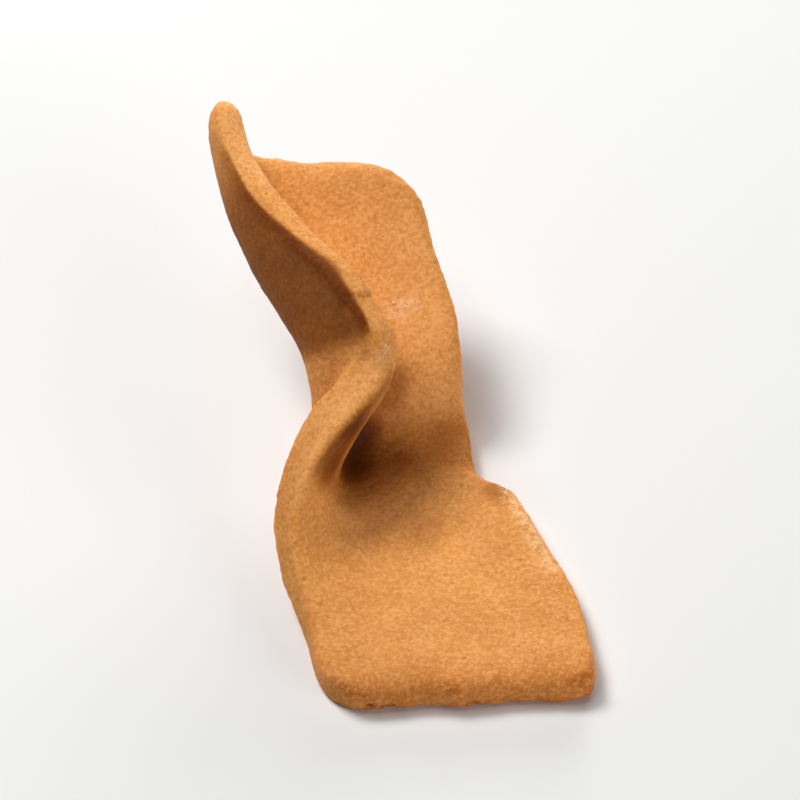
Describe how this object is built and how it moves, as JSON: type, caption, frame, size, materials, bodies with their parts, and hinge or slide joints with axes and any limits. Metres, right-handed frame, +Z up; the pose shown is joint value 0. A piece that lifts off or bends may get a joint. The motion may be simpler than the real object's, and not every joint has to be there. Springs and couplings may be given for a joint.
{
  "type": "karinto",
  "caption": "Fried dough biscuit: a flat strip pinched at mid-length, one long edge folded over into a pocket and the far half climbing in a step to a raised corner.",
  "frame": {"origin": "centre of the bounding box's bottom face, on the surface that the biscuit lies on", "axes": "+Y along the strip from its near end to its raised far end, +Z up, and the folded edge on the -X side"},
  "size_m": [0.0416, 0.079, 0.0366],
  "materials": {
    "crust": "dry matte biscuit crust with a faint sugar glaze"
  },
  "bodies": {
    "root": {"karinto": "crust"}
  },
  "joints": []
}
